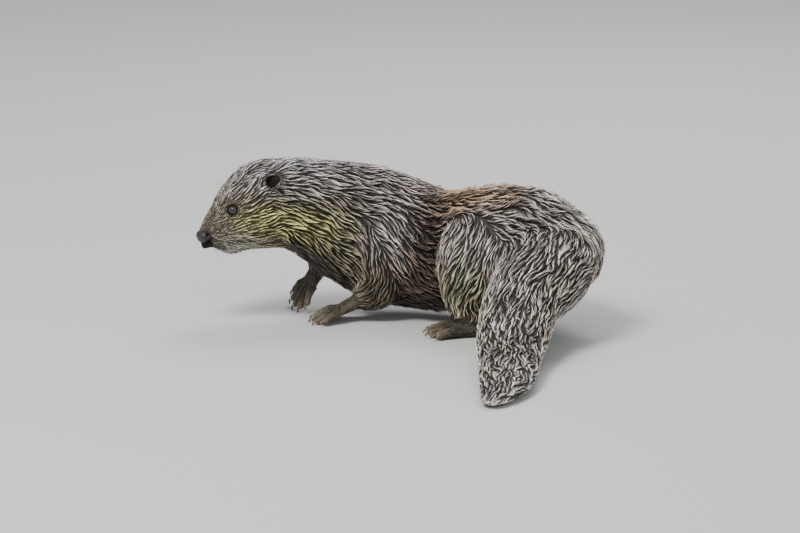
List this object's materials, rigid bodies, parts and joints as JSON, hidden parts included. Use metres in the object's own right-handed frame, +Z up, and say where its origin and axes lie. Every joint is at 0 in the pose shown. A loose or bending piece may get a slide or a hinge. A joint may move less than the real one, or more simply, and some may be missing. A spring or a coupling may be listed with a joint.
{
  "type": "river otter",
  "caption": "River otter at life size, standing still with a humped back, head held low and turned to its left, and a thick tapering tail that curls round along the floor",
  "frame": {"origin": "the middle of the footprint's bounding box, on the floor that the feet and tail rest on", "axes": "+Z is up; -X is the way the body faces, nose end first; +Y is the animal's right, so the tail reaches out along -Y"},
  "size_m": [0.4898, 0.5608, 0.1975],
  "materials": {
    "coat": "wet fur in pointed clumps, light ridges over dark gaps",
    "nose": "damp and finely pebbled",
    "eye": "wet and glossy",
    "claw": "smooth horn"
  },
  "bodies": {
    "root": {"chest": "coat", "ear_left": "coat", "ear_right": "coat", "eye_left": "eye", "eye_right": "eye", "foreclaw_left_1": "claw", "foreclaw_left_2": "claw", "foreclaw_left_3": "claw", "foreclaw_left_4": "claw", "foreclaw_left_5": "claw", "foreclaw_right_1": "claw", "foreclaw_right_2": "claw", "foreclaw_right_3": "claw", "foreclaw_right_4": "claw", "foreclaw_right_5": "claw", "forefoot_left": "coat", "forefoot_right": "coat", "foreleg_left_lower": "coat", "foreleg_left_upper": "coat", "foreleg_right_lower": "coat", "foreleg_right_upper": "coat", "head": "coat", "hindclaw_left_1": "claw", "hindclaw_left_2": "claw", "hindclaw_left_3": "claw", "hindclaw_left_4": "claw", "hindclaw_left_5": "claw", "hindclaw_right_1": "claw", "hindclaw_right_2": "claw", "hindclaw_right_3": "claw", "hindclaw_right_4": "claw", "hindclaw_right_5": "claw", "hindfoot_left": "coat", "hindfoot_right": "coat", "hindleg_left_lower": "coat", "hindleg_left_upper": "coat", "hindleg_right_lower": "coat", "hindleg_right_upper": "coat", "loin": "coat", "neck": "coat", "nose": "nose", "rump": "coat", "tail_base": "coat", "tail_middle": "coat", "tail_tip": "coat"}
  },
  "joints": []
}
